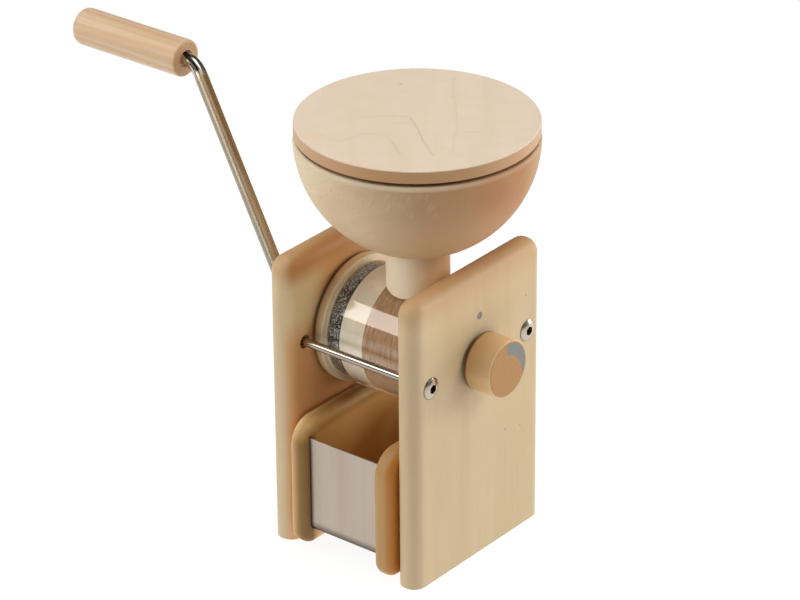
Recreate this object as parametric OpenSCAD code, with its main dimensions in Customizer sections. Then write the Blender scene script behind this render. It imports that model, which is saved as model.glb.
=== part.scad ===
// Hand grain mill: two wooden boards carry a clear milling chamber, a hopper bowl, a crank and a flour tray.
// Millimetres. X runs along the milling axis (crank at -X, knob at +X), the front is -Y, Z is up.

/* [Boards] */
// thickness of each side board
board_t = 19; // [15:0.5:25]
// front to back depth of each board
board_d = 142; // [120:1:170]
// height of each board above the table
board_h = 220; // [200:1:245]
// clear space between the two boards
board_gap = 92; // [90:0.5:110]
// round-over on both arrises of the front, top and back edges
edge_r = 9; // [3:0.5:9]
// radius of the two top corners seen from the side
corner_r = 12; // [10:0.5:30]

/* [Ties] */
// distance of each tie rod in front of or behind the milling axis
tie_y = 54; // [51:0.5:60]
// tie rod diameter
tie_d = 6; // [4:0.5:6.5]
// hole for a cap sleeve through the board
tie_hole_d = 10; // [9:0.5:12]
// diameter of the domed cap head
cap_d = 16.5; // [14:0.5:20]
// height of the domed cap head
cap_h = 2.4; // [1.5:0.1:4]
// length of the cap sleeve inside the board
cap_l = 12; // [8:0.5:14]
// hex socket across corners
hex_d = 7; // [4:0.1:7.5]
// depth of the hex socket
hex_h = 4.5; // [2:0.5:4.5]
// length of rod screwed into each cap
tie_grip = 7; // [4:0.5:7.5]

/* [Chamber] */
// height of the milling axis above the table
axis_h = 153; // [150:0.5:165]
// outside diameter of the clear tube
tube_d = 90; // [84:0.5:94]
// wall of the clear tube
tube_t = 2; // [1.5:0.1:3]
// length of the flange's spigot inside the tube
tube_on_flange = 1.5; // [1:0.5:6]
// how far the tube sits in the right board
tube_in_board = 3; // [2:0.5:5]
// how far the flange's shoulder stands out beyond the tube
flange_lip = 1.6; // [1:0.1:3]
// width of the flange
flange_w = 8.5; // [8:0.1:12]
// shadow groove between flange and left board
flange_gap = 2; // [1:0.1:3]
// depth of that shadow groove
flange_step = 2.5; // [1:0.1:4]
// how far the flange sits in the left board
flange_in_board = 4; // [2:0.5:6]
// bore of the flange
flange_bore_d = 39; // [38:0.5:50]
// width of the flour slot in the underside of the tube
slot_w = 7; // [5:0.5:8]
// length of the flour slot across the tube
slot_l = 36; // [20:1:50]

/* [Stones] */
// thickness of the running stone
runner_t = 9; // [8:0.5:12]
// room between the running stone's rim and the tube
runner_room = 1; // [0.6:0.1:2]
// room between the running stone's back and the flange
runner_back = 0.6; // [0.4:0.1:1]
// gap between the stones at the coarse end
stone_gap = 1.2; // [1:0.05:1.6]
// width of the cream holder ring seen through the tube
holder_w = 20.2; // [17:0.1:22]
// holder rim outside the bed stone
holder_rim = 5; // [3:0.5:8]
// how far the holder rim stands back from the bed stone's face
holder_back = 0.4; // [0.4:0.1:2]
// thickness of the bed stone
bed_t = 12; // [8:0.5:14]
// eye of the bed stone and bore of the feed passage
eye_d = 26; // [24:0.5:32]
// number of furrows on each stone
furrows = 10; // [6:1:14]
// width of a furrow
furrow_w = 3; // [1.5:0.1:4]
// depth of a furrow
furrow_h = 1.2; // [0.5:0.1:2]
// sideways lead of each furrow
furrow_lead = 7; // [3:0.5:9]

/* [Feed] */
// upright feed bore below the hopper
feed_d = 22; // [18:0.5:23]
// length of the feed passage inside the block
passage_l = 34; // [30:1:38]
// main shaft diameter
shaft_d = 12; // [10:0.5:14]
// worm outside diameter
worm_d = 23; // [20:0.5:23.5]
// worm blade thickness
worm_blade = 3; // [2:0.5:4]
// worm hub diameter
worm_hub_d = 16; // [15.5:0.5:18]
// turns of the worm
worm_turns = 1.5; // [1:0.25:2.5]

/* [Hopper] */
// how far the hopper stands from the middle towards the knob
hopper_x = 11.5; // [11:0.5:14]
// height of the bowl's rim above the milling axis
bowl_rise = 154.6; // [150:0.2:165]
// outside radius of the round bowl
bowl_r = 84.5; // [78:0.5:90]
// wall of the bowl
bowl_t = 9; // [6:0.5:12]
// neck diameter
neck_d = 44.5; // [40:0.5:48]
// hollow fillet between bowl and neck
neck_fillet = 4; // [2:0.5:6]
// spigot of the neck inside the chamber
spigot_d = 28; // [26:0.5:29]
// height of the spigot's end above the milling axis
spigot_end = 30; // [26:0.5:34]
// rounding of the bowl's rim
rim_r = 2.6; // [1:0.1:4]

/* [Lid] */
// how far the lid's edge stands back from the widest place of the bowl
lid_in = 0.5; // [0:0.1:2]
// lid thickness at its edge
lid_t = 9.2; // [6:0.1:12]
// shadow gap between lid and bowl
lid_gap = 2.4; // [1.5:0.1:4]
// how far the lid's seat stands back from its edge
lid_seat_in = 4; // [2:0.5:6]
// depth of the lid's plug inside the bowl
lid_plug_h = 5; // [3:0.5:8]
// rounding of the lid's two arrises
lid_r = 0.8; // [0.4:0.1:2]

/* [Knob] */
// knob diameter
knob_d = 41.6; // [36:0.2:46]
// knob length
knob_l = 22; // [18:0.5:26]
// gap between knob and board
knob_gap = 2.7; // [2:0.1:4]
// rounding of the knob's front arris
knob_r = 1.6; // [0.8:0.1:3]
// spindle diameter (the thread's outside)
spindle_d = 20; // [18:0.5:22]
// wall of the threaded insert
insert_wall = 4; // [3:0.5:6]
// how far the spindle enters the knob
spindle_in_knob = 8; // [6:0.5:9]
// height of the index dot above the milling axis
dot_rise = 33.5; // [28:0.5:36]
// index dot diameter
dot_d = 5.5; // [3:0.5:6]
// depth of the dot and of the crescent inlay
mark_h = 0.4; // [0.3:0.1:0.8]
// crescent: distance of its outer curve from the knob's edge
mark_in = 1.7; // [1.7:0.1:3]
// crescent: distance between the middles of its two curves
mark_offset = 9; // [5:0.5:11]
// crescent: angle of its widest place, from the top towards the back
mark_mid = 24; // [10:1:40]
// crescent: angle of its blunt end, from the top towards the front
mark_turn = 4; // [0:1:20]

/* [Crank] */
// crank rod diameter
rod_d = 10; // [8:0.5:11]
// throw of the crank
crank_r = 135.5; // [100:0.5:136]
// lower bend: distance from the left board
crank_reach = 44; // [40:0.5:55]
// sideways offset of the sloping arm
crank_offset = 119; // [90:1:130]
// bend radius of the rod's middle line
bend_r = 22; // [15:0.5:28]
// rest position: backward tilt from upright
crank_rest = 19.4; // [0:0.2:45]
// threaded stub of the rod
stub_d = 8; // [6:0.5:8]
// depth of the stub in the shaft
stub_l = 16; // [10:0.5:18]
// lock nut across corners
nut_d = 15; // [13:0.5:18]
// lock nut thickness
nut_t = 6.5; // [5:0.5:8]
// grip diameter
grip_d = 28; // [24:0.5:32]
// grip length
grip_l = 101; // [90:1:120]
// distance of the grip from the upper bend
grip_start = 8.6; // [8.4:0.2:14]
// rounding of the grip's outer end
grip_r = 5; // [2:0.1:6]
// rounding of the grip's end towards the crank
grip_mouth_r = 2.4; // [1:0.1:5]
// mouth of the grip's bore
mouth_d = 13.5; // [12:0.5:15]
// depth of that mouth
mouth_h = 4; // [2:0.5:8]
// push-on cap that keeps the grip on the rod
grip_cap_d = 15; // [13:0.5:17]
// thickness of that cap
grip_cap_t = 2; // [1.5:0.1:3]

/* [Bearings] */
// wall of the shaft bush in the left board
bush_wall = 3; // [2:0.5:5]
// collar of the bush outside the board
bush_collar_t = 2; // [1:0.1:3]
// how far that collar stands out round the bush
bush_collar_w = 4; // [2:0.5:6]
// driver plate diameter
driver_d = 36; // [30:0.5:37]
// driver plate thickness
driver_t = 4.6; // [3:0.1:5]
// driver lug diameter
lug_d = 6; // [4:0.5:7]
// driver lug length
lug_l = 5; // [3:0.5:6]
// distance of each lug from the axis
lug_y = 12.5; // [11:0.5:14]
// drive pin diameter
pin_d = 3; // [2:0.5:3.5]
// thrust washer diameter
washer_d = 19; // [17.5:0.5:20]
// thrust washer thickness
washer_t = 1.5; // [1:0.1:2]
// shaft clip diameter
clip_d = 17; // [15.5:0.5:18]
// shaft clip thickness
clip_t = 1; // [0.8:0.1:1.5]
// depth of the clip's groove in the shaft
clip_groove = 1.2; // [0.6:0.1:1.5]

/* [Tray] */
// thickness of each tray cheek
cheek_t = 15.6; // [13:0.1:18]
// front to back length of the tray
tray_d = 130; // [120:1:136]
// how far the tray stands out in front of the boards
tray_out = 4.6; // [2:0.2:8]
// height of the tray above the table
tray_z = 3; // [1.5:0.1:6]
// room between the cheeks' tops and the chamber above them
tray_room = 6.4; // [4:0.1:15]
// round-over of the cheeks' edges
cheek_edge_r = 6; // [3:0.5:7]
// radius of the cheeks' top corners
cheek_top_r = 20; // [10:0.5:30]
// radius of the cheeks' bottom corners
cheek_bottom_r = 11; // [9:0.5:16]
// clearance between a cheek and its board
cheek_gap = 0.8; // [0.5:0.1:1.5]
// sheet thickness of the steel trough
sheet_t = 1; // [0.6:0.1:1.4]
// front of the trough behind the front of the cheeks
trough_in = 5.7; // [4:0.1:8]
// bottom of the trough above the bottom of the cheeks
trough_z = 12.6; // [10:0.1:16]
// top of the trough below the tops of the cheeks
trough_drop = 10.8; // [6:0.1:20]
// outside radius of the trough's bends
trough_r = 4; // [3:0.5:6]
// depth of the slots that hold the trough
slot_h = 4.2; // [3:0.1:5]
// width of those slots
slot_t = 2; // [1.6:0.1:2.6]
// height of a tray runner
runner_h = 6; // [4:0.5:8]
// how far a runner stands out from the board
runner_w = 4.4; // [3:0.1:5]
// length of a runner
runner_l = 104; // [60:1:110]
// height of the runners' middle above the bottom of the cheeks
runner_z = 48; // [30:0.5:58]

/* [Fits] */
// radial clearance of a running fit
run_fit = 0.06; // [0.02:0.01:0.1]
// radial clearance of a seated piece
seat_fit = 0.1; // [0.05:0.05:0.2]
// clearance of pieces that stand loosely apart
free_fit = 0.4; // [0.3:0.1:0.8]

/* [Hidden] */
$fn = 96;
eps = 0.5;
flat_min = 0.3;
edge_q = min(edge_r, board_t / 2 - flat_min);
corner_q = max(corner_r, edge_q + flat_min);
cheek_edge_q = min(cheek_edge_r, cheek_t / 2 - flat_min);
x_in = board_gap / 2;
x_out = x_in + board_t;
tube_r = tube_d / 2;
tube_in_r = tube_r - tube_t;
core_r = tube_in_r - seat_fit * 2;
flange_r = tube_r + flange_lip;
flange_x0 = -x_in + flange_gap;
flange_x1 = flange_x0 + flange_w;
shoulder_x1 = flange_x1 - tube_on_flange;
flange_boss_r = flange_r - flange_step;
runner_x0 = flange_x1 + runner_back;
runner_x1 = runner_x0 + runner_t;
runner_r = tube_in_r - runner_room;
bed_x0 = runner_x1 + stone_gap;
bed_x1 = bed_x0 + bed_t;
bed_r = core_r - holder_rim;
holder_x0 = bed_x0 + holder_back;
holder_x1 = holder_x0 + holder_w - holder_back;
block_x1 = x_in + tube_in_board - free_fit / 2;
passage_x1 = holder_x1 + passage_l;
eye_r = eye_d / 2;
shaft_r = shaft_d / 2;
worm_x0 = bed_x0 + free_fit;
worm_x1 = passage_x1 - free_fit * 2;
rim_z = axis_h + bowl_rise;
neck_r = neck_d / 2;
bowl_in_r = bowl_r - bowl_t;
lid_edge_r = bowl_r - lid_in;
lid_seat_r = lid_edge_r - lid_seat_in;
lid_z = rim_z + lid_gap;
knob_x0 = x_out + knob_gap;
knob_x1 = knob_x0 + knob_l;
spindle_x0 = x_in + tube_in_board + free_fit;
spindle_x1 = knob_x0 + spindle_in_knob;
washer_x0 = spindle_x1 + run_fit;
washer_x1 = washer_x0 + washer_t;
clip_x0 = washer_x1 + run_fit;
clip_x1 = clip_x0 + clip_t;
shaft_x1 = clip_x1 + clip_t;
spindle_r = spindle_d / 2;
insert_r = spindle_r + run_fit + insert_wall;
cavity_r = washer_d / 2 + free_fit * 2;
cavity_x1 = shaft_x1 + free_fit * 2;
bush_r = shaft_r + run_fit + bush_wall;
bush_collar_x = -x_out - bush_collar_t;
shaft_x0 = bush_collar_x - stone_gap;
nut_x1 = shaft_x0;
nut_x0 = nut_x1 - nut_t;
driver_x1 = runner_x0 - run_fit;
driver_x0 = driver_x1 - driver_t;
crank_x = -x_out - crank_reach;
crank_x2 = crank_x - crank_offset;
grip_x1 = crank_x2 - grip_start;
grip_x0 = grip_x1 - grip_l;
cap_room = grip_cap_t * 2;
rod_x0 = grip_x0 + cap_room - grip_cap_t;
arm_l = norm([crank_offset, crank_r]);
arm_a = atan2(crank_r, crank_offset);
bend_l = bend_r * tan(arm_a / 2);
bend_lap = 0.6;
bend_step = 0.03;
cheek_x = x_in - cheek_gap;
cheek_h = axis_h - flange_r - tray_room - tray_z;
trough_h = cheek_h - trough_z - trough_drop;
tray_y0 = -board_d / 2 - tray_out;
trough_y0 = tray_y0 + trough_in;
trough_d = tray_d - trough_in * 2;
trough_z0 = tray_z + trough_z;
trough_x = cheek_x - cheek_t + slot_h - free_fit / 2;
groove_y0 = -runner_l / 2 - free_fit;
groove_y1 = tray_y0 + tray_d + eps;
mark_r = knob_d / 2 - max(mark_in, knob_r + flat_min / 3);
reach_x = max(knob_x1, hopper_x + bowl_r);
shift_x = -(grip_x0 + reach_x) / 2;

// moves the whole mill so that the middle of its bounding box stands over the origin
module place() {
  translate([shift_x, 0, 0]) children();
}

// puts a shape drawn along local Z onto the milling axis, running towards +X from x
module on_axis(x, y = 0, z = axis_h) {
  translate([x, y, z]) rotate([0, 90, 0]) children();
}

// puts a shape drawn in (y, z) and raised along local Z onto the frame, raised towards +X from x
module side_view(x) {
  translate([x, 0, 0]) rotate([90, 0, 90]) children();
}

module rod_x(x0, x1, r, y = 0, z = axis_h) {
  on_axis(x0, y, z) cylinder(h = x1 - x0, r = r);
}

module tube_x(x0, x1, r_out, r_in) {
  difference() {
    rod_x(x0, x1, r_out);
    rod_x(x0 - eps, x1 + eps, r_in);
  }
}

module quarter_disc(r) {
  intersection() {
    circle(r = r);
    square(r);
  }
}

// end of a plate's section: from 0 to r outwards, t wide, both outer arrises rounded by e
module edge_section(t, r, e) {
  translate([0, -t / 2]) square([r - e, t]);
  translate([r - e, e - t / 2]) square([e, t - 2 * e]);
  translate([r - e, t / 2 - e]) quarter_disc(e);
  translate([r - e, e - t / 2]) mirror([0, 1]) quarter_disc(e);
}

// plate standing in the (y, z) plane, centred on X and Y, with rounded edges
module rounded_plate(t, d, h, e, r_top, r_bottom) {
  z0 = r_bottom;
  z1 = h - r_top;
  translate([0, 0, z0]) linear_extrude(height = z1 - z0) {
    rotate(90) edge_section(t, d / 2, e);
    rotate(-90) edge_section(t, d / 2, e);
  }
  translate([0, d / 2 - r_top, z1]) rotate([90, 0, 0]) linear_extrude(height = d - 2 * r_top)
    rotate(90) edge_section(t, r_top, e);
  for (s = [0, 1]) mirror([0, s, 0])
    translate([0, d / 2 - r_top, z1]) rotate([90, 0, 90]) rotate_extrude(angle = 90)
      edge_section(t, r_top, e);
  if (r_bottom > 0) {
    translate([0, d / 2 - r_bottom, z0]) rotate([90, 0, 0]) linear_extrude(height = d - 2 * r_bottom)
      rotate(-90) edge_section(t, r_bottom, e);
    for (s = [0, 1]) mirror([0, s, 0])
      translate([0, d / 2 - r_bottom, z0]) rotate([90, 0, 90]) rotate([0, 0, -90]) rotate_extrude(angle = 90)
        edge_section(t, r_bottom, e);
  }
}

module board_blank(side) {
  translate([side * (x_in + board_t / 2), 0, 0]) rounded_plate(board_t, board_d, board_h, edge_q, corner_q, 0);
}

module tie_holes(x0, x1) {
  for (s = [-1, 1]) rod_x(x0, x1, tie_hole_d / 2, s * tie_y);
}

module left_board() {
  color("#dcc096") place() difference() {
    board_blank(-1);
    tie_holes(-x_out - eps, -x_in + eps);
    rod_x(-x_out - eps, -x_in + eps, bush_r + seat_fit);
    rod_x(-x_in - flange_in_board, -x_in + eps, flange_boss_r + seat_fit);
  }
}

module right_board() {
  color("#dcc096") place() difference() {
    board_blank(1);
    tie_holes(x_in - eps, x_out + eps);
    rod_x(x_in - eps, x_out + eps, insert_r + seat_fit);
    rod_x(x_in - eps, x_in + tube_in_board, tube_r + seat_fit);
    rod_x(x_out - mark_h, x_out + eps, dot_d / 2 + seat_fit, 0, axis_h + dot_rise);
  }
}

module tie_rod(y) {
  rod_x(-x_out + cap_l - tie_grip, x_out - cap_l + tie_grip, tie_d / 2, y);
}

module tie_rod_front() {
  color("#c9c9cc") place() tie_rod(-tie_y);
}

module tie_rod_rear() {
  color("#c9c9cc") place() tie_rod(tie_y);
}

// half section of a cap: domed head, sleeve and the threaded bore for the rod
module cap_section() {
  dome_r = (cap_d * cap_d / 4 + cap_h * cap_h) / (2 * cap_h);
  difference() {
    union() {
      intersection() {
        translate([0, cap_h - dome_r]) circle(r = dome_r);
        square([cap_d / 2 - flat_min, cap_h + eps]);
      }
      translate([0, -cap_l]) square([tie_hole_d / 2 - seat_fit, cap_l]);
    }
    translate([0, -cap_l - eps]) square([tie_d / 2 + run_fit, tie_grip + eps * 2]);
  }
}

// cap on the +X side: domed head outside the board, sleeve inside it
module tie_cap(y) {
  on_axis(x_out, y) difference() {
    rotate_extrude() cap_section();
    translate([0, 0, cap_h - hex_h]) cylinder(h = hex_h + eps, d = hex_d, $fn = 6);
  }
}

module tie_cap_front_left() {
  color("#d3d4d8") place() mirror([1, 0, 0]) tie_cap(-tie_y);
}

module tie_cap_front_right() {
  color("#d3d4d8") place() tie_cap(-tie_y);
}

module tie_cap_rear_left() {
  color("#d3d4d8") place() mirror([1, 0, 0]) tie_cap(tie_y);
}

module tie_cap_rear_right() {
  color("#d3d4d8") place() tie_cap(tie_y);
}

module chamber_flange() {
  color("#c8a878") place() difference() {
    union() {
      rod_x(flange_x0, shoulder_x1, flange_r);
      rod_x(-x_in - flange_in_board, flange_x0 + eps, flange_boss_r);
      rod_x(shoulder_x1 - eps, flange_x1, tube_in_r - seat_fit);
    }
    rod_x(-x_in - flange_in_board - eps, flange_x1 + eps, flange_bore_d / 2);
  }
}

module chamber_tube() {
  color([0.9, 0.92, 0.92, 0.35]) place() difference() {
    tube_x(shoulder_x1 + free_fit / 2, x_in + tube_in_board - free_fit / 2, tube_r, tube_in_r);
    translate([hopper_x, 0, axis_h]) cylinder(h = tube_r + eps, r = spigot_d / 2 + free_fit);
    translate([runner_x1 + stone_gap / 2 - slot_w / 2, -slot_l / 2, axis_h - tube_r - eps])
      cube([slot_w, slot_l, tube_r]);
  }
}

module stone_holder() {
  color("#ddd3b8") place() difference() {
    rod_x(holder_x0, holder_x1, core_r);
    rod_x(holder_x0 - eps, bed_x1, bed_r + seat_fit);
    rod_x(holder_x0, holder_x1 + eps, eye_r);
  }
}

// straight furrows, each leading the eye's edge to the rim past the middle line
module stone_furrows(x, r) {
  for (i = [0 : furrows - 1])
    translate([x, 0, axis_h]) rotate([i * 360 / furrows, 0, 0])
      translate([0, furrow_lead, eye_r * 0.6]) cube([furrow_h * 2, furrow_w, r]);
}

module bed_stone() {
  color("#a8a294") place() difference() {
    rod_x(bed_x0, bed_x1, bed_r);
    rod_x(bed_x0 - eps, bed_x1 + eps, eye_r);
    stone_furrows(bed_x0 - furrow_h, bed_r);
  }
}

module feed_block() {
  color("#a58362") place() difference() {
    rod_x(holder_x1, block_x1, core_r);
    rod_x(holder_x1 - eps, passage_x1, eye_r);
    rod_x(passage_x1 - eps, block_x1 + eps, shaft_r + free_fit);
    translate([hopper_x, 0, axis_h]) cylinder(h = tube_r, d = feed_d);
    translate([hopper_x, 0, axis_h + spigot_end - free_fit / 2])
      cylinder(h = tube_r, r = spigot_d / 2 + seat_fit);
  }
}

// half section of the bowl: round shell, neck and the hollow fillet between them
module bowl_section() {
  f_r = neck_r + neck_fillet;
  f_z = -sqrt(pow(bowl_r + neck_fillet - flat_min, 2) - f_r * f_r);
  top_z = -sqrt(bowl_r * bowl_r - f_r * f_r);
  difference() {
    union() {
      intersection() {
        circle(r = bowl_r);
        translate([0, -bowl_r - eps]) square([bowl_r + eps, bowl_r + eps]);
      }
      translate([0, -bowl_rise]) square([neck_r, bowl_rise - bowl_in_r]);
      difference() {
        translate([neck_r - eps, f_z]) square([neck_fillet, top_z - f_z + bowl_t / 2]);
        translate([f_r, f_z]) circle(r = neck_fillet);
      }
    }
    circle(r = bowl_in_r);
    translate([0, -bowl_rise - eps]) square([feed_d / 2, bowl_rise]);
    translate([bowl_r - flat_min / 2 - rim_r, -rim_r]) difference() {
      square(rim_r + eps);
      circle(r = rim_r);
    }
  }
}

module hopper_bowl() {
  color("#d3b083") place() union() {
    difference() {
      translate([hopper_x, 0, rim_z]) rotate_extrude() bowl_section();
      rod_x(hopper_x - bowl_r, hopper_x + bowl_r, tube_r + seat_fit);
    }
    difference() {
      translate([hopper_x, 0, axis_h + spigot_end]) cylinder(h = tube_r, d = spigot_d);
      translate([hopper_x, 0, axis_h]) cylinder(h = tube_r * 2, d = feed_d);
    }
  }
}

module shaft_bush() {
  color("#b08d57") place() difference() {
    union() {
      rod_x(-x_out, -x_in - flange_in_board, bush_r);
      rod_x(bush_collar_x, -x_out, bush_r + bush_collar_w);
    }
    rod_x(bush_collar_x - eps, -x_in + eps, shaft_r + run_fit);
  }
}

module knob_insert() {
  color("#b08d57") place() tube_x(x_in + tube_in_board, x_out, insert_r, spindle_r + run_fit);
}

module index_dot() {
  color("#8a8778") place() rod_x(x_out - mark_h, x_out, dot_d / 2, 0, axis_h + dot_rise);
}

module tray_runner(side) {
  translate([side * (x_in - runner_w / 2), 0, tray_z + runner_z])
    cube([runner_w, runner_l, runner_h], center = true);
}

module tray_runner_left() {
  color("#cfae80") place() tray_runner(-1);
}

module tray_runner_right() {
  color("#cfae80") place() tray_runner(1);
}

module thrust_washer() {
  color("#b9b9bd") place() tube_x(washer_x0, washer_x1, washer_d / 2, shaft_r + run_fit);
}

module main_shaft() {
  color("#b9b9bd") place() difference() {
    rod_x(shaft_x0, shaft_x1, shaft_r);
    rod_x(shaft_x0 - eps, shaft_x0 + stub_l + free_fit, stub_d / 2 + run_fit);
    tube_x(clip_x0 - run_fit / 2, clip_x1 + run_fit / 2, shaft_r + eps, shaft_r - clip_groove);
    translate([(driver_x0 + driver_x1) / 2, 0, axis_h])
      cylinder(h = shaft_d * 2, d = pin_d + run_fit * 2, center = true);
  }
}

module runner_stone() {
  color("#6e6e6c") place() difference() {
    rod_x(runner_x0, runner_x1, runner_r);
    rod_x(runner_x0 - eps, runner_x1 + eps, shaft_r + seat_fit);
    stone_furrows(runner_x1 - furrow_h, runner_r);
    for (s = [-1, 1]) rod_x(runner_x0 - eps, runner_x0 + lug_l + free_fit, lug_d / 2 + seat_fit, s * lug_y);
  }
}

module stone_driver() {
  color("#8f8f93") place() difference() {
    union() {
      rod_x(driver_x0, driver_x1, driver_d / 2);
      for (s = [-1, 1]) rod_x(driver_x1 - eps, driver_x1 + lug_l, lug_d / 2, s * lug_y);
    }
    rod_x(driver_x0 - eps, driver_x1 + eps, shaft_r + run_fit);
    translate([(driver_x0 + driver_x1) / 2, 0, axis_h])
      cylinder(h = driver_d, d = pin_d + run_fit * 2, center = true);
  }
}

module drive_pin() {
  color("#b9b9bd") place() translate([(driver_x0 + driver_x1) / 2, 0, axis_h])
    cylinder(h = driver_d - free_fit * 4, d = pin_d, center = true);
}

module feed_worm() {
  color("#9a9a9e") place() on_axis(worm_x0)
    linear_extrude(height = worm_x1 - worm_x0, twist = -360 * worm_turns, slices = 36, $fn = 24) difference() {
      union() {
        circle(d = worm_hub_d, $fn = 24);
        square([worm_d, worm_blade], center = true);
      }
      circle(r = shaft_r + seat_fit * 2, $fn = 24);
    }
}

module shaft_clip() {
  color("#8f8f93") place() tube_x(clip_x0, clip_x1, clip_d / 2, shaft_r - clip_groove + run_fit);
}

// arc of the rod's middle line in the (x, z) plane, from angle a over arm_a, lapped into the straight runs
module rod_bend(x, z, a) {
  translate([x, 0, z]) rotate([90, 0, 0]) rotate([0, 0, a - bend_lap]) rotate_extrude(angle = arm_a + bend_lap * 2)
    translate([bend_r, 0]) circle(d = rod_d - bend_step);
}

module rod_run(x, z, a, l, d) {
  translate([x, 0, z]) rotate([0, a - 90, 0]) cylinder(h = l, d = d);
}

module crank_rod() {
  x1 = crank_x + bend_l;
  x2 = crank_x2 - bend_l;
  color("#c4c2bf") place() translate([0, 0, axis_h]) rotate([-crank_rest, 0, 0]) union() {
    rod_run(shaft_x0 + stub_l, 0, 0, stub_l + nut_t + eps, stub_d);
    rod_run(nut_x0, 0, 0, nut_x0 - x1, rod_d);
    rod_bend(x1, bend_r, -90 - arm_a);
    rod_run(crank_x - bend_l * cos(arm_a), bend_l * sin(arm_a), arm_a, arm_l - 2 * bend_l, rod_d);
    rod_bend(x2, crank_r - bend_r, 90 - arm_a);
    rod_run(x2, crank_r, 0, x2 - rod_x0, rod_d);
  }
}

module crank_nut() {
  color("#a9a9ad") place() difference() {
    rod_x(nut_x0, nut_x1, nut_d / 2, $fn = 6);
    rod_x(nut_x0 - eps, nut_x1 + eps, stub_d / 2 + run_fit);
  }
}

module at_grip() {
  translate([0, 0, axis_h]) rotate([-crank_rest, 0, 0]) translate([0, 0, crank_r]) children();
}

// grip: turned bar with rounded ends, bored right through, with a wider mouth and a room for the cap
module crank_grip() {
  r = grip_d / 2;
  color("#dfbd8d") place() at_grip() translate([grip_x0, 0, 0]) rotate([0, 90, 0]) difference() {
    rotate_extrude() {
      translate([0, grip_r]) square([r, grip_l - grip_r - grip_mouth_r]);
      square([r - grip_r, grip_l / 2]);
      translate([0, grip_l / 2]) square([r - grip_mouth_r, grip_l / 2]);
      translate([r - grip_mouth_r, grip_l - grip_mouth_r]) quarter_disc(grip_mouth_r);
      translate([r - grip_r, grip_r]) mirror([0, 1]) quarter_disc(grip_r);
    }
    translate([0, 0, -eps]) cylinder(h = grip_l + eps * 2, r = rod_d / 2 + run_fit);
    translate([0, 0, grip_l - mouth_h]) cylinder(h = mouth_h + eps, d = mouth_d);
    translate([0, 0, -eps]) cylinder(h = cap_room + free_fit + eps, r = grip_cap_d / 2 + free_fit);
  }
}

module grip_cap() {
  color("#8f8f93") place() at_grip() translate([rod_x0, 0, 0]) rotate([0, 90, 0]) difference() {
    cylinder(h = grip_cap_t, d = grip_cap_d);
    translate([0, 0, -eps]) cylinder(h = grip_cap_t + eps * 2, r = rod_d / 2 + run_fit / 2);
  }
}

// crescent between two equal circles, cut off at its blunt end, drawn as seen from the knob's side
module crescent() {
  intersection() {
    difference() {
      circle(r = mark_r);
      rotate(-mark_mid) translate([0, -mark_offset]) circle(r = mark_r);
    }
    rotate(mark_turn) translate([0, -mark_r]) square([mark_r, mark_r * 2]);
  }
}

module knob() {
  r = knob_d / 2;
  color("#d0a570") place() difference() {
    on_axis(knob_x0) rotate_extrude() {
      square([r, knob_l - knob_r]);
      square([r - knob_r, knob_l]);
      translate([r - knob_r, knob_l - knob_r]) quarter_disc(knob_r);
    }
    rod_x(knob_x0 - eps, spindle_x1, spindle_r + seat_fit / 2);
    rod_x(spindle_x1 - eps, cavity_x1, cavity_r);
    side_view(knob_x1 - mark_h) linear_extrude(height = mark_h + eps) translate([0, axis_h]) crescent();
  }
}

module knob_spindle() {
  color("#b08d57") place() tube_x(spindle_x0, spindle_x1, spindle_r, shaft_r + run_fit);
}

module knob_mark() {
  color("#8d8d88") place() side_view(knob_x1 - mark_h) linear_extrude(height = mark_h)
    translate([0, axis_h]) crescent();
}

// bent sheet in the (y, z) plane: front, floor and back, t thick, g wider than the sheet on both sides
module trough_shape(g) {
  y0 = trough_y0 - g;
  y1 = trough_y0 + trough_d + g;
  z0 = trough_z0 - g;
  z1 = trough_z0 + trough_h + g;
  r = trough_r + g;
  t = sheet_t + g * 2;
  translate([y0, z0 + r]) square([t, z1 - z0 - r]);
  translate([y1 - t, z0 + r]) square([t, z1 - z0 - r]);
  translate([y0 + r, z0]) square([y1 - y0 - r * 2, t]);
  for (s = [0, 1]) translate([s == 0 ? y0 + r : y1 - r, z0 + r]) mirror([1 - s, 0]) mirror([0, 1]) difference() {
    quarter_disc(r);
    circle(r = r - t);
  }
}

module tray_trough() {
  color("#b9b4ac") place() side_view(-trough_x) linear_extrude(height = trough_x * 2) trough_shape(0);
}

// cheek on the +X side with the slot for the trough and the groove for the runner, which is open at the back only
module tray_cheek() {
  xi = cheek_x - cheek_t;
  difference() {
    translate([cheek_x - cheek_t / 2, tray_y0 + tray_d / 2, tray_z])
      rounded_plate(cheek_t, tray_d, cheek_h, cheek_edge_q, cheek_top_r, cheek_bottom_r);
    side_view(xi - eps) linear_extrude(height = slot_h + eps) trough_shape((slot_t - sheet_t) / 2);
    translate([x_in - runner_w - free_fit * 2, groove_y0, tray_z + runner_z - runner_h / 2 - free_fit])
      cube([runner_w + eps, groove_y1 - groove_y0, runner_h + free_fit * 2]);
  }
}

module tray_cheek_left() {
  color("#d6b384") place() mirror([1, 0, 0]) tray_cheek();
}

module tray_cheek_right() {
  color("#d6b384") place() tray_cheek();
}

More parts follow.
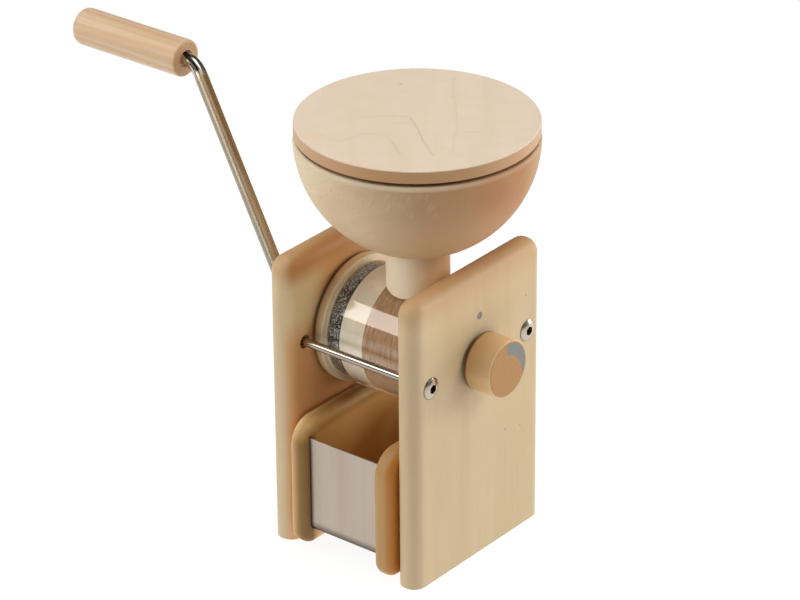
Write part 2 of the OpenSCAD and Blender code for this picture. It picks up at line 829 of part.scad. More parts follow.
// lid: disc with rounded arrises, a seat that stands on the bowl's rim and a plug inside it
module lid() {
  r = lid_edge_r;
  color("#e6d3b8") place() translate([hopper_x, 0, lid_z]) union() {
    rotate_extrude() {
      translate([0, lid_r]) square([r, lid_t - 2 * lid_r]);
      square([r - lid_r, lid_t]);
      translate([r - lid_r, lid_t - lid_r]) quarter_disc(lid_r);
      translate([r - lid_r, lid_r]) mirror([0, 1]) quarter_disc(lid_r);
    }
    translate([0, 0, -lid_gap]) cylinder(h = lid_gap, r = lid_seat_r);
    translate([0, 0, -lid_gap - lid_plug_h]) cylinder(h = lid_plug_h, r = bowl_in_r - lid_gap);
  }
}

left_board();
right_board();
tie_rod_front();
tie_rod_rear();
tie_cap_front_left();
tie_cap_front_right();
tie_cap_rear_left();
tie_cap_rear_right();
chamber_flange();
chamber_tube();
stone_holder();
bed_stone();
feed_block();
hopper_bowl();
shaft_bush();
knob_insert();
index_dot();
tray_runner_left();
tray_runner_right();
thrust_washer();
main_shaft();
runner_stone();
stone_driver();
drive_pin();
feed_worm();
shaft_clip();
crank_rod();
crank_nut();
grip_cap();
crank_grip();
knob();
knob_spindle();
knob_mark();
tray_cheek_left();
tray_cheek_right();
tray_trough();
lid();
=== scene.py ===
import math

import bpy
import numpy as np
from mathutils import Matrix, Vector


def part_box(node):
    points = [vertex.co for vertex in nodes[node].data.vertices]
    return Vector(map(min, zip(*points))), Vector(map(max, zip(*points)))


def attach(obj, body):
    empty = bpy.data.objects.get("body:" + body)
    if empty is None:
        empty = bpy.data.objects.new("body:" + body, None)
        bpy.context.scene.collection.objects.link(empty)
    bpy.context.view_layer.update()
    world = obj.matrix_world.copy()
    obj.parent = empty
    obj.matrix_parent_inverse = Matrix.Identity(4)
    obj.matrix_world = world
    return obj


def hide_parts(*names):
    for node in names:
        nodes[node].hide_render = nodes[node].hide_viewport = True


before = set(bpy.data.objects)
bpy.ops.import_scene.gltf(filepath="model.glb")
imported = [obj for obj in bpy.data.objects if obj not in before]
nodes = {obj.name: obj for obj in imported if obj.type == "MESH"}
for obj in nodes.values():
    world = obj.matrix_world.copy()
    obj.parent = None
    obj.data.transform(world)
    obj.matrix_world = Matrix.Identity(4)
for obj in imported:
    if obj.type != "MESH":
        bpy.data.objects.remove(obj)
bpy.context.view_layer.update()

# Side boards: two upright planks of beech, planed, rounded over on three edges and oiled.
# Everything else hangs between them, and they stand on their sawn lower ends.
MM = 0.001
UPRIGHT = (0, math.pi / 2, 0)
left_lo, left_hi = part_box("left_board")
right_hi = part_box("right_board")[1]
stone_lo, stone_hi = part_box("runner_stone")
MIDDLE = (left_lo[0] + right_hi[0]) / 2
AXIS_Z = (stone_lo[2] + stone_hi[2]) / 2
BOARD_TOP, BOARD_FRONT = left_hi[2], left_lo[1]


def linear(hexa):
    """An sRGB hex colour as linear red, green, blue and alpha."""
    srgb = np.array([int(hexa[i:i + 2], 16) for i in (1, 3, 5)]) / 255
    return (*np.where(srgb <= 0.04045, srgb / 12.92, ((srgb + 0.055) / 1.055) ** 2.4), 1.0)


def repeats(*sizes):
    """A pattern's scale along x, y and z from its real sizes in millimetres."""
    return [1 / (size * MM) for size in sizes]


def feed(node, sockets):
    """Sets a node's sockets: a number or a colour as it stands, a node or one of its outputs by a link."""
    for key, value in sockets.items():
        if isinstance(value, bpy.types.Node):
            value = next(output for output in value.outputs if output.enabled)
        if isinstance(value, bpy.types.NodeSocket):
            node.id_data.links.new(value, node.inputs[key])
        else:
            node.inputs[key].default_value = value


def put(tree, kind, sockets, **settings):
    """Adds one node: settings are its properties, and its sockets are fed."""
    made = tree.nodes.new("ShaderNode" + kind)
    for key, value in settings.items():
        setattr(made, key, value)
    feed(made, sockets)
    return made


def bare_skin(name):
    """Starts a material: gives it, its node tree, its shader and the Object coordinates."""
    skin = bpy.data.materials.new(name)
    skin.use_nodes = True
    tree = skin.node_tree
    return skin, tree, tree.nodes["Principled BSDF"], put(tree, "TexCoord", {}).outputs["Object"]


def oiled_beech(name, pale, brown, turn, across=9, streaks=0.75, flecks=0.3, gloss=0.5, knots=(), knot_r=0.9):
    """Oiled beech: straight soft streaks, short dark ray flecks and a fibre too fine to shine. turn lays
    the grain along x; across is the width of a streak and knot_r the radius of a pin knot, in millimetres."""
    skin, tree, body, place = bare_skin(name)
    grain = put(tree, "Mapping", {"Vector": place, "Rotation": turn})
    # a streak runs about 190 mm along the grain; a fibre line is 1.3 mm wide, coarser than real, to show
    wide = put(tree, "Mapping", {"Vector": grain, "Scale": repeats(190, across, across)})
    streak = put(tree, "TexNoise", {"Vector": wide, "Scale": 1, "Detail": 2.5, "Roughness": 0.55,
                                    "Distortion": 0.5})
    tone = put(tree, "MapRange", {"Value": streak, "From Min": 0.36, "From Max": 0.66, "To Max": streaks})
    fine = put(tree, "Mapping", {"Vector": grain, "Scale": repeats(24, 1.3, 1.3)})
    fibre = put(tree, "TexNoise", {"Vector": fine, "Scale": 1, "Detail": 3, "Roughness": 0.6})
    line = put(tree, "MapRange", {"Value": fibre, "From Min": 0.42, "From Max": 0.75, "To Max": 0.2})
    # ray flecks are lens-shaped, 0.8 mm by 4 mm
    dash = put(tree, "Mapping", {"Vector": grain, "Scale": repeats(9, 2.6, 2.6)})
    cell = put(tree, "TexVoronoi", {"Vector": dash, "Scale": 1})
    fleck = put(tree, "MapRange", {"Value": cell, "From Min": 0.12, "From Max": 0.26,
                                   "To Min": flecks, "To Max": 0})
    dark = [0.62 * c for c in linear(brown)[:3]] + [1]
    mixed = put(tree, "MixRGB", {"Fac": tone, "Color1": linear(pale), "Color2": linear(brown)})
    mixed = put(tree, "MixRGB", {"Fac": line, "Color1": mixed, "Color2": linear(brown)})
    mixed = put(tree, "MixRGB", {"Fac": fleck, "Color1": mixed, "Color2": dark})
    for knot in knots:
        far = put(tree, "VectorMath", {0: place, 1: knot}, operation="DISTANCE")
        near = put(tree, "MapRange", {"Value": far, "From Min": 0.3 * knot_r * MM, "From Max": knot_r * MM,
                                      "To Min": 0.75, "To Max": 0})
        mixed = put(tree, "MixRGB", {"Fac": near, "Color1": mixed, "Color2": linear("#8A5230")})
    sheen = put(tree, "MapRange", {"Value": fibre, "From Min": 0.3, "From Max": 0.7,
                                   "To Min": gloss - 0.05, "To Max": gloss + 0.09})
    bump = put(tree, "Bump", {"Height": fibre, "Strength": 0.12, "Distance": 0.25 * MM})
    feed(body, {"Base Color": mixed, "Roughness": sheen, "Normal": bump})
    return skin, tree, body, place, mixed


def dress(skin, *names):
    """Gives CAD nodes their finish."""
    for name in names:
        nodes[name].material_slots[0].material = skin


# pin knots on the outside of the right board, by y and z in millimetres
board_knots = [(right_hi[0], y * MM, z * MM)
               for y, z in ((52.4, 181), (46.6, 81.6), (29.2, 85.3), (-66.5, 204), (-66.5, 176))]
board_beech, tree, body, place, mixed = oiled_beech(
    "oiled_beech_boards", "#D9C199", "#D0B68C", UPRIGHT, across=18, streaks=0.6, flecks=0.06,
    knots=board_knots)
# painted warm shade, standing in for light reflected off the bowl, lies on the inside of the crank's board;
# both boards are also warmer towards the top
x, y, z = put(tree, "SeparateXYZ", {0: place}).outputs
depth = put(tree, "Math", {0: x, 1: left_hi[0]}, operation="SUBTRACT")
depth = put(tree, "Math", {0: depth}, operation="ABSOLUTE")
inside = put(tree, "MapRange", {"Value": depth, "From Min": 1 * MM, "From Max": 7 * MM,
                                "To Min": 0.85, "To Max": 0})
top = put(tree, "MapRange", {"Value": z, "From Min": BOARD_TOP - 40 * MM, "From Max": BOARD_TOP + 2 * MM,
                             "To Max": 0.4})
warm = put(tree, "Math", {0: inside, 1: top}, operation="MAXIMUM")
# the warm tone also spreads over the top of the crank's board, less far in front and on the outside
spread = put(tree, "MapRange", {"Value": depth, "From Min": 2 * MM, "From Max": 14 * MM,
                                "To Min": 0.8, "To Max": 0})
upper = put(tree, "MapRange", {"Value": z, "From Min": BOARD_TOP - 12 * MM, "From Max": BOARD_TOP - 4 * MM})
back = put(tree, "MapRange", {"Value": y, "From Min": BOARD_FRONT + 9 * MM,
                              "From Max": BOARD_FRONT + 19 * MM})
spread = put(tree, "Math", {0: spread, 1: upper}, operation="MULTIPLY")
spread = put(tree, "Math", {0: spread, 1: back}, operation="MULTIPLY")
warm = put(tree, "Math", {0: warm, 1: spread}, operation="MAXIMUM")
# it is straw coloured in front above the tie, where flour dust has dried it, and the warm tone, partly
# painted shade, is deepest near the top
height = put(tree, "Math", {0: z, 1: AXIS_Z + 33 * MM}, operation="SUBTRACT")
height = put(tree, "Math", {0: height}, operation="ABSOLUTE")
pale_patch = put(tree, "MapRange", {"Value": height, "From Min": 12 * MM, "From Max": 32 * MM,
                             "To Min": 1, "To Max": 0})
front = put(tree, "MapRange", {"Value": y, "From Min": BOARD_FRONT + 25 * MM,
                               "From Max": BOARD_FRONT + 43 * MM, "To Min": 1, "To Max": 0.15})
pale_patch = put(tree, "Math", {0: pale_patch, 1: front}, operation="MULTIPLY")
deep = put(tree, "MapRange", {"Value": z, "From Min": BOARD_TOP - 23 * MM, "From Max": BOARD_TOP - 10 * MM,
                              "To Max": 0.8})
tint = put(tree, "MixRGB", {"Fac": pale_patch, "Color1": linear("#EDAF6E"), "Color2": linear("#F7DCA6")})
tint = put(tree, "MixRGB", {"Fac": deep, "Color1": tint, "Color2": linear("#CC8438")})
grain_and_painted_light = put(tree, "MixRGB", {"Fac": warm, "Color1": mixed, "Color2": tint})
feed(body, {"Base Color": grain_and_painted_light})
dress(board_beech, "left_board", "right_board")

# Tray runners: two plain beech battens glued to the insides of the boards.
# The grooves of the tray slide on them.
runner_beech, *_ = oiled_beech(
    "planed_beech_runners", "#DDC298", "#CDAA78", (0, 0, -math.pi / 2), across=6, gloss=0.55)
dress(runner_beech, "tray_runner_left", "tray_runner_right")


# Ties: two drawn steel rods with domed sleeve nuts, all bright chromed.
# They clamp the chamber between the boards.
def bright_chrome(name, tint, rough, drawn):
    """Chromed steel: a mirror with a little haze and faint drawing lines along X, drawn millimetres long."""
    skin, tree, body, place = bare_skin(name)
    lines = put(tree, "Mapping", {"Vector": place, "Scale": repeats(drawn, 0.8, 0.8)})
    haze = put(tree, "TexNoise", {"Vector": lines, "Scale": 1, "Detail": 3})
    tone = put(tree, "MapRange", {"Value": haze, "From Min": 0.3, "From Max": 0.7, "To Max": 0.25})
    mixed = put(tree, "MixRGB", {"Fac": tone, "Color1": linear(tint), "Color2": linear("#A9A49C")})
    dull = put(tree, "MapRange", {"Value": haze, "From Min": 0.3, "From Max": 0.75,
                                  "To Min": rough, "To Max": rough * 2.2})
    feed(body, {"Metallic": 1, "Base Color": mixed, "Roughness": dull})
    return skin, tree, body, place, mixed


rod_chrome, *_ = bright_chrome("chromed_tie_rod", "#A89D92", 0.12, 60)
dress(rod_chrome, "tie_rod_front", "tie_rod_rear")
cap_chrome, tree, body, place, mixed = bright_chrome("chromed_cap", "#C9BCAA", 0.15, 1.5)
# a dark line lies round the foot of each head, on the outside of its board
OUTSIDE = right_hi[0] - MIDDLE
x = put(tree, "SeparateXYZ", {0: place}).outputs["X"]
out = put(tree, "Math", {0: x, 1: MIDDLE}, operation="SUBTRACT")
out = put(tree, "Math", {0: out}, operation="ABSOLUTE")
foot = put(tree, "MapRange", {"Value": out, "From Min": OUTSIDE + 0.2 * MM, "From Max": OUTSIDE + 0.7 * MM,
                              "To Min": 0.8, "To Max": 0})
dark_foot_line = put(tree, "MixRGB", {"Fac": foot, "Color1": mixed, "Color2": linear("#4A3D30")})
feed(body, {"Base Color": dark_foot_line})
dress(cap_chrome, "tie_cap_front_left", "tie_cap_front_right", "tie_cap_rear_left", "tie_cap_rear_right")

# Chamber flange: a turned beech ring let into the left board.
# It holds one end of the clear tube; a shadow groove sets it off from the board.
flange_lo, flange_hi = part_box("chamber_flange")
GROOVE, LIP = flange_lo[0] + 6 * MM, flange_hi[0]
flange_beech, tree, body, place, mixed = oiled_beech(
    "turned_beech_flange", "#E9D5AE", "#DFC497", UPRIGHT, across=7, flecks=0.08)
# painted shade: the ring is browner beside the board, whose shadow falls on it, with a painted dark shadow
# line in the groove and a painted highlight on top
x, _, z = put(tree, "SeparateXYZ", {0: place}).outputs
board_shade = put(tree, "MapRange", {"Value": x, "From Min": GROOVE, "From Max": GROOVE + 6.5 * MM,
                              "To Min": 0.9, "To Max": 0})
light = put(tree, "MapRange", {"Value": z, "From Min": AXIS_Z + 38 * MM, "From Max": AXIS_Z + 46 * MM,
                               "To Max": 0.9})
groove_shadow = put(tree, "MapRange", {"Value": x, "From Min": GROOVE + 0.3 * MM, "From Max": GROOVE + 1.6 * MM,
                                "To Min": 0.9, "To Max": 0})
# painted light: its front and its spigot under the tube are painted pale where they lie in shade
pale_patch = put(tree, "MapRange", {"Value": x, "From Min": LIP - 2.6 * MM, "From Max": LIP - 1.6 * MM,
                             "To Max": 0.95})
grain_and_painted_light = put(tree, "MixRGB", {"Fac": board_shade, "Color1": mixed, "Color2": linear("#B5804A")})
grain_and_painted_light = put(tree, "MixRGB", {"Fac": light, "Color1": grain_and_painted_light, "Color2": linear("#FFE3BE")})
grain_and_painted_light = put(tree, "MixRGB", {"Fac": groove_shadow, "Color1": grain_and_painted_light, "Color2": linear("#452812")})
grain_and_painted_light = put(tree, "MixRGB", {"Fac": pale_patch, "Color1": grain_and_painted_light, "Color2": linear("#FFF1D2")})
feed(body, {"Base Color": grain_and_painted_light})
dress(flange_beech, "chamber_flange")

# Clear tube: cast acrylic, 2 mm thick and polished, with a slot underneath for the flour.
# The wall lets light straight through and mirrors the lamps as its gloss asks.
ACRYLIC_INDEX = 1.49
acrylic, tree, mirror, place = bare_skin("clear_acrylic")
haze = put(tree, "TexNoise", {"Vector": place, "Scale": 1 / (6 * MM), "Detail": 3})
dull = put(tree, "MapRange", {"Value": haze, "From Min": 0.3, "From Max": 0.7,
                              "To Min": 0.02, "To Max": 0.05})
feed(mirror, {"Metallic": 1, "Base Color": linear("#FFFFFF"), "Roughness": dull})
side = put(tree, "NewGeometry", {})
index = put(tree, "MapRange", {"Value": side.outputs["Backfacing"],
                               "To Min": ACRYLIC_INDEX, "To Max": 1 / ACRYLIC_INDEX})
gloss = put(tree, "Fresnel", {"IOR": index})
through = put(tree, "BsdfTransparent", {"Color": linear("#FFFFFE")})
wall = put(tree, "MixShader", {0: gloss, 1: through, 2: mirror})
feed(tree.nodes["Material Output"], {"Surface": wall})
dress(acrylic, "chamber_tube")


# Stones: two discs cast from corundum grit, dressed with straight furrows.
# The dark one runs with the shaft; the pale one sits still in a cream ring pressed into the tube.
def grit_stone(name, low, mid, high, grit):
    """Cast grit: grains of mixed grey, each its own tone, and pits between them. grit is the size of a
    grain in millimetres."""
    skin, tree, body, place = bare_skin(name)
    grain = put(tree, "TexVoronoi", {"Vector": place, "Scale": 1 / (grit * MM)})
    first, second, _ = put(tree, "SeparateColor", {0: grain.outputs["Color"]}).outputs
    cloud = put(tree, "TexNoise", {"Vector": place, "Scale": 1 / (4 * MM), "Detail": 4})
    dark = put(tree, "MapRange", {"Value": first, "From Min": 0.15, "From Max": 0.75})
    light = put(tree, "MapRange", {"Value": second, "From Min": 0.72, "From Max": 0.82, "To Max": 0.9})
    mixed = put(tree, "MixRGB", {"Fac": dark, "Color1": linear(low), "Color2": linear(mid)})
    mixed = put(tree, "MixRGB", {"Fac": light, "Color1": mixed, "Color2": linear(high)})
    mixed = put(tree, "MixRGB", {"Fac": 0.35, "Color1": mixed, "Color2": cloud}, blend_type="OVERLAY")
    bump = put(tree, "Bump", {"Height": grain, "Strength": 0.5, "Distance": 0.3 * MM}, invert=True)
    feed(body, {"Roughness": 0.85, "Base Color": mixed, "Normal": bump})
    return skin, tree, body, place, mixed


pale_stone, *_ = grit_stone("pale_corundum_stone", "#8E887A", "#B8B1A0", "#DAD5C8", 1.5)
dress(pale_stone, "bed_stone")
dark_stone, tree, body, place, mixed = grit_stone(
    "dark_corundum_stone", "#1E1E1F", "#626263", "#C8C6C2", 0.95)
# painted reflection and flour: the upper edge of the dark one is lightened where the tube mirrors light at a
# grazing angle, and flour lies there
z = put(tree, "SeparateXYZ", {0: place}).outputs["Z"]
flour_and_reflection = put(tree, "MapRange", {"Value": z, "From Min": AXIS_Z + 33 * MM, "From Max": AXIS_Z + 40 * MM,
                                "To Max": 0.8})
mixed = put(tree, "MixRGB", {"Fac": flour_and_reflection, "Color1": mixed, "Color2": linear("#96969A")},
            blend_type="SCREEN")
feed(body, {"Base Color": mixed})
dress(dark_stone, "runner_stone")

# a moulded ring: even cream with faint flow marks, about 12 mm apart
cream, tree, body, place = bare_skin("cream_moulded_ring")
flow = put(tree, "TexNoise", {"Vector": place, "Scale": 1 / (12 * MM), "Detail": 3, "Distortion": 0.8})
tone = put(tree, "MapRange", {"Value": flow, "From Min": 0.3, "From Max": 0.7})
mixed = put(tree, "MixRGB", {"Fac": tone, "Color1": linear("#FFF6E2"), "Color2": linear("#F7EAD2")})
dull = put(tree, "MapRange", {"Value": flow, "To Min": 0.3, "To Max": 0.45})
feed(body, {"Base Color": mixed, "Roughness": dull})
dress(cream, "stone_holder")

# Feed block: a plug of brown hardwood turned to fit the tube, bored for the worm and the neck.
# The lathe leaves fine rings round it, which catch the light as close lines.
block, tree, body, place = bare_skin("turned_brown_hardwood")
# rings 0.9 mm apart along the axis, drawn coarser than a lathe's so that they show, wavering every 14 mm
ring = put(tree, "Mapping", {"Vector": place, "Scale": repeats(0.9, 14, 14)})
lathe = put(tree, "TexNoise", {"Vector": ring, "Scale": 1, "Detail": 2, "Roughness": 0.7})
cloud = put(tree, "TexNoise", {"Vector": place, "Scale": 1 / (18 * MM), "Detail": 2})
tone = put(tree, "MapRange", {"Value": lathe, "From Min": 0.35, "From Max": 0.65})
patch = put(tree, "MapRange", {"Value": cloud, "From Min": 0.3, "From Max": 0.7, "To Max": 0.4})
mixed = put(tree, "MixRGB", {"Fac": tone, "Color1": linear("#D6AF88"), "Color2": linear("#A4774A")})
mixed = put(tree, "MixRGB", {"Fac": patch, "Color1": mixed, "Color2": linear("#B98F68")})
# painted light: underneath, where it lies in shade, it is painted lighter
z = put(tree, "SeparateXYZ", {0: place}).outputs["Z"]
painted_underlight = put(tree, "MapRange", {"Value": z, "From Min": AXIS_Z - 35 * MM, "From Max": AXIS_Z - 11 * MM,
                               "To Min": 0.6, "To Max": 0})
mixed = put(tree, "MixRGB", {"Fac": painted_underlight, "Color1": mixed, "Color2": linear("#F0DCC6")})
bump = put(tree, "Bump", {"Height": lathe, "Strength": 0.3, "Distance": 0.2 * MM})
feed(body, {"Roughness": 0.55, "Base Color": mixed, "Normal": bump})
dress(block, "feed_block")


# Shaft and its small parts: turned free-cutting steel, left bare, with fine rings from the lathe.
# Shaft, driver plate, pin, washer and clip carry the running stone; a hex nut locks the crank on.
def turned_metal(name, tint, dark, rough):
    """Turned metal: bare and satin, with rings 0.5 mm apart along X and stains some 9 mm wide."""
    skin, tree, body, place = bare_skin(name)
    ring = put(tree, "Mapping", {"Vector": place, "Scale": repeats(0.5, 20, 20)})
    lathe = put(tree, "TexNoise", {"Vector": ring, "Scale": 1, "Detail": 2})
    stain = put(tree, "TexNoise", {"Vector": place, "Scale": 1 / (9 * MM), "Detail": 4})
    tone = put(tree, "MapRange", {"Value": stain, "From Min": 0.35, "From Max": 0.7, "To Max": 0.7})
    mixed = put(tree, "MixRGB", {"Fac": tone, "Color1": linear(tint), "Color2": linear(dark)})
    dull = put(tree, "MapRange", {"Value": stain, "From Min": 0.3, "From Max": 0.7,
                                  "To Min": rough - 0.08, "To Max": rough + 0.1})
    bump = put(tree, "Bump", {"Height": lathe, "Strength": 0.12, "Distance": 0.1 * MM})
    feed(body, {"Metallic": 1, "Base Color": mixed, "Roughness": dull, "Normal": bump})
    return skin


bare_steel = turned_metal("turned_bare_steel", "#B9B8B6", "#8E8C88", 0.32)
dress(bare_steel, "main_shaft", "stone_driver", "drive_pin", "thrust_washer", "shaft_clip", "crank_nut",
      "grip_cap")

# Bearings: a flanged brass bush in the left board and a threaded brass insert in the right one.
# Both are turned, pressed into the wood and left to tarnish.
bearing_brass = turned_metal("turned_brass", "#C9A565", "#A3804A", 0.3)
dress(bearing_brass, "shaft_bush", "knob_insert")

# Feed worm: two steel blades wound round a sleeve on the shaft.
# It takes the grain from the neck and pushes it through the eye of the still stone.
worm_lo, worm_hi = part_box("feed_worm")
WORM_R = worm_hi[1]
WORM_BORE_R, WORM_HUB_R, BLADE_T, WORM_TURNS = 6.2 * MM, 8 * MM, 3 * MM, 1.5


def looped(name, points, body, replaced, skin):
    """A closed piece from a grid of points that runs round in both directions, like the skin of a ring."""
    rows, columns = points.shape[:2]
    i, j = np.meshgrid(np.arange(rows), np.arange(columns), indexing="ij")
    i2, j2 = (i + 1) % rows, (j + 1) % columns
    faces = [i * columns + j, i * columns + j2, i2 * columns + j2, i2 * columns + j]
    faces = np.stack(faces, axis=-1).reshape(-1, 4)
    a, b, c, d = np.moveaxis(points.reshape(-1, 3)[faces] - points[0, 0], 1, 0)
    volume = np.sum(a * np.cross(b, c)) + np.sum(a * np.cross(c, d))
    if volume < 0:
        faces = faces[:, ::-1]
    mesh = bpy.data.meshes.new(name)
    mesh.from_pydata(points.reshape(-1, 3).tolist(), [], faces.tolist())
    mesh.shade_smooth()
    mesh.set_sharp_from_angle(angle=math.radians(35))
    mesh.materials.append(skin)
    piece = bpy.data.objects.new(name, mesh)
    bpy.context.collection.objects.link(piece)
    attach(piece, body)
    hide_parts(replaced)


def worm_skin(x0, x1, across=240, rows=90):
    """Section in polar form, the larger of the hub's radius and the blade's edge at half its thickness over
    the sine of the angle, turned evenly along X; the rows go out over one end, along, and back through
    the bore."""
    angle = np.linspace(0, 2 * np.pi, across, endpoint=False)
    edge = 0.5 * BLADE_T / np.maximum(np.abs(np.sin(angle)), 1e-6)
    outer = np.clip(edge, WORM_HUB_R, WORM_R)
    bore = np.full((1, across), WORM_BORE_R)
    run = np.concatenate([[0], np.linspace(0, 1, rows), [1]])[:, None]
    radius = np.concatenate([bore, np.repeat(outer[None], rows, 0), bore])
    turned = angle[None] + 2 * np.pi * WORM_TURNS * run
    x = x0 + (x1 - x0) * run + 0 * turned
    return np.stack([x, radius * np.sin(turned), AXIS_Z - radius * np.cos(turned)], axis=-1)


looped("feed_worm_wound", worm_skin(worm_lo[0], worm_hi[0]), "rotor", "feed_worm", bare_steel)

# Hopper: a round bowl and its neck, turned in one from glued beech and fitted into the feed block.
# The lathe cuts across the grain, so short slanting flecks show; painted shade with some heartwood tone
# browns it from side to side.
lid_lo, lid_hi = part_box("lid")
HOPPER_X = (lid_lo[0] + lid_hi[0]) / 2
RIM_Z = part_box("hopper_bowl")[1][2]
NECK_Z = RIM_Z - 80.6 * MM
bowl_beech, tree, body, place, mixed = oiled_beech(
    "turned_beech_bowl", "#E8D5B2", "#DEC59D", (0.3, 0.2, 0.5), across=16, flecks=0.3, gloss=0.52)
# painted shade with heartwood tone: a brown that deepens across the bowl away from its lit side, and a
# painted highlight that pales its far edge
away = put(tree, "VectorMath", {0: place, 1: (HOPPER_X, 0, 0)}, operation="SUBTRACT")
across_bowl = put(tree, "VectorMath", {0: away, 1: (0.78, 0.62, 0)}, operation="DOT_PRODUCT")
cloud = put(tree, "TexNoise", {"Vector": place, "Scale": 1 / (55 * MM), "Detail": 2})
drift = put(tree, "Math", {0: cloud, 1: 50 * MM, 2: across_bowl}, operation="MULTIPLY_ADD")
z = put(tree, "SeparateXYZ", {0: place}).outputs["Z"]
lower = put(tree, "MapRange", {"Value": z, "From Min": NECK_Z - 12 * MM, "From Max": NECK_Z + 13 * MM,
                               "To Min": 0.25})
patch = put(tree, "MapRange", {"Value": drift, "From Min": -50 * MM, "From Max": 30 * MM})
tinge = put(tree, "Math", {0: patch, 1: lower}, operation="MULTIPLY")
patch = put(tree, "MapRange", {"Value": drift, "From Min": 25 * MM, "From Max": 95 * MM})
edge = put(tree, "MapRange", {"Value": across_bowl, "From Min": 70 * MM, "From Max": 84 * MM, "To Max": 0.7})
brown = put(tree, "MixRGB", {"Fac": tinge, "Color1": mixed, "Color2": linear("#C0986C")})
brown = put(tree, "MixRGB", {"Fac": patch, "Color1": brown, "Color2": linear("#BC824E")})
brown = put(tree, "MixRGB", {"Fac": edge, "Color1": brown, "Color2": linear("#C9AD82")})
# a red patch, some 30 mm wide
lay = put(tree, "CombineXYZ", {"X": across_bowl, "Y": z})
red = put(tree, "VectorMath", {0: lay, 1: (50 * MM, RIM_Z - 17 * MM, 0)}, operation="DISTANCE")
red = put(tree, "MapRange", {"Value": red, "From Min": 3 * MM, "From Max": 17 * MM,
                             "To Min": 0.45, "To Max": 0})
brown = put(tree, "MixRGB", {"Fac": red, "Color1": brown, "Color2": linear("#B26E42")})
# below the rim, in front, pale slanting strokes of torn grain, 1.2 mm by 9 mm
slant = put(tree, "VectorMath", {0: away, 1: (0.78, 0.62, -0.45)}, operation="DOT_PRODUCT")
torn = put(tree, "CombineXYZ", {"X": slant, "Y": z})
torn = put(tree, "Mapping", {"Vector": torn, "Scale": repeats(2.4, 9, 1000)})
torn = put(tree, "TexNoise", {"Vector": torn, "Scale": 1, "Detail": 1})
torn = put(tree, "MapRange", {"Value": torn, "From Min": 0.53, "From Max": 0.7, "To Max": 0.18})
band = put(tree, "Math", {0: z, 1: RIM_Z - 14 * MM}, operation="SUBTRACT")
band = put(tree, "Math", {0: band}, operation="ABSOLUTE")
band = put(tree, "MapRange", {"Value": band, "From Min": 5 * MM, "From Max": 13 * MM,
                              "To Min": 1, "To Max": 0})
turn = put(tree, "Math", {0: across_bowl, 1: -16 * MM}, operation="SUBTRACT")
turn = put(tree, "Math", {0: turn}, operation="ABSOLUTE")
turn = put(tree, "MapRange", {"Value": turn, "From Min": 20 * MM, "From Max": 36 * MM,
                              "To Min": 1, "To Max": 0.15})
torn = put(tree, "Math", {0: torn, 1: band}, operation="MULTIPLY")
torn = put(tree, "Math", {0: torn, 1: turn}, operation="MULTIPLY")
brown = put(tree, "MixRGB", {"Fac": torn, "Color1": brown, "Color2": linear("#F0DEBE")})
# painted light and shade: the neck is pale on its lit front and orange in painted shade at its side, the
# rounded rim has a painted highlight that fades on the right, and its flat top a painted shadow under the lid
neck_lit_front = put(tree, "MapRange", {"Value": across_bowl, "From Min": -8 * MM, "From Max": 22 * MM,
                             "To Min": 1, "To Max": 0})
neck = put(tree, "MixRGB", {"Fac": neck_lit_front, "Color1": linear("#EEBA82"), "Color2": linear("#FDEFD2")})
below = put(tree, "MapRange", {"Value": z, "From Min": NECK_Z - 5 * MM, "From Max": NECK_Z + 5 * MM,
                               "To Min": 0.8, "To Max": 0})
rim_highlight = put(tree, "MapRange", {"Value": z, "From Min": RIM_Z - 4 * MM, "From Max": RIM_Z - 2.4 * MM,
                              "To Max": 0.75})
highlight_fade = put(tree, "MapRange", {"Value": across_bowl, "From Min": 0, "From Max": 50 * MM,
                               "To Min": 1, "To Max": 0.25})
rim_highlight = put(tree, "Math", {0: rim_highlight, 1: highlight_fade}, operation="MULTIPLY")
gap_shadow = put(tree, "MapRange", {"Value": z, "From Min": RIM_Z - 0.35 * MM, "From Max": RIM_Z - 0.1 * MM,
                               "To Max": 0.5})
brown = put(tree, "MixRGB", {"Fac": below, "Color1": brown, "Color2": neck})
brown = put(tree, "MixRGB", {"Fac": rim_highlight, "Color1": brown, "Color2": linear("#E8D4B6")})
brown = put(tree, "MixRGB", {"Fac": gap_shadow, "Color1": brown, "Color2": linear("#6E4F35")})
feed(body, {"Base Color": brown})
dress(bowl_beech, "hopper_bowl")

# Lid: a flat turned disc of pale maple glued from two boards, with a plug underneath that keeps it in place.
# It shows thin wandering veins, a faint long one beside the joint and one tiny knot.
LID_Z = lid_hi[2]
lid_maple, tree, body, place, mixed = oiled_beech(
    "turned_maple_lid", "#EAD8C3", "#E3CEB5", (0, 0, math.radians(-128.6)), across=22, streaks=0.5,
    flecks=0.04, knots=[(HOPPER_X - 44.2 * MM, 37.6 * MM, LID_Z)], knot_r=1.3)
level = put(tree, "VectorMath", {0: place, 1: (HOPPER_X, 0, LID_Z)}, operation="SUBTRACT")
across = put(tree, "VectorMath", {0: level, 1: (0.781, 0.624, 0)}, operation="DOT_PRODUCT")
along = put(tree, "VectorMath", {0: level, 1: (-0.624, 0.781, 0)}, operation="DOT_PRODUCT")
# a mottled figure of soft yellow patches, some 20 mm by 11 mm, lies across the grain
mottle = put(tree, "CombineXYZ", {"X": across, "Y": along})
mottle = put(tree, "Mapping", {"Vector": mottle, "Scale": repeats(20, 11, 1000)})
mottle = put(tree, "TexNoise", {"Vector": mottle, "Scale": 1, "Detail": 2, "Distortion": 0.6})
mottle = put(tree, "MapRange", {"Value": mottle, "From Min": 0.42, "From Max": 0.7, "To Max": 0.4})
built_colour = put(tree, "MixRGB", {"Fac": mottle, "Color1": mixed, "Color2": linear("#E6CDAE")})
waver = put(tree, "TexNoise", {"Vector": level, "Scale": 1 / (7 * MM), "Detail": 2})


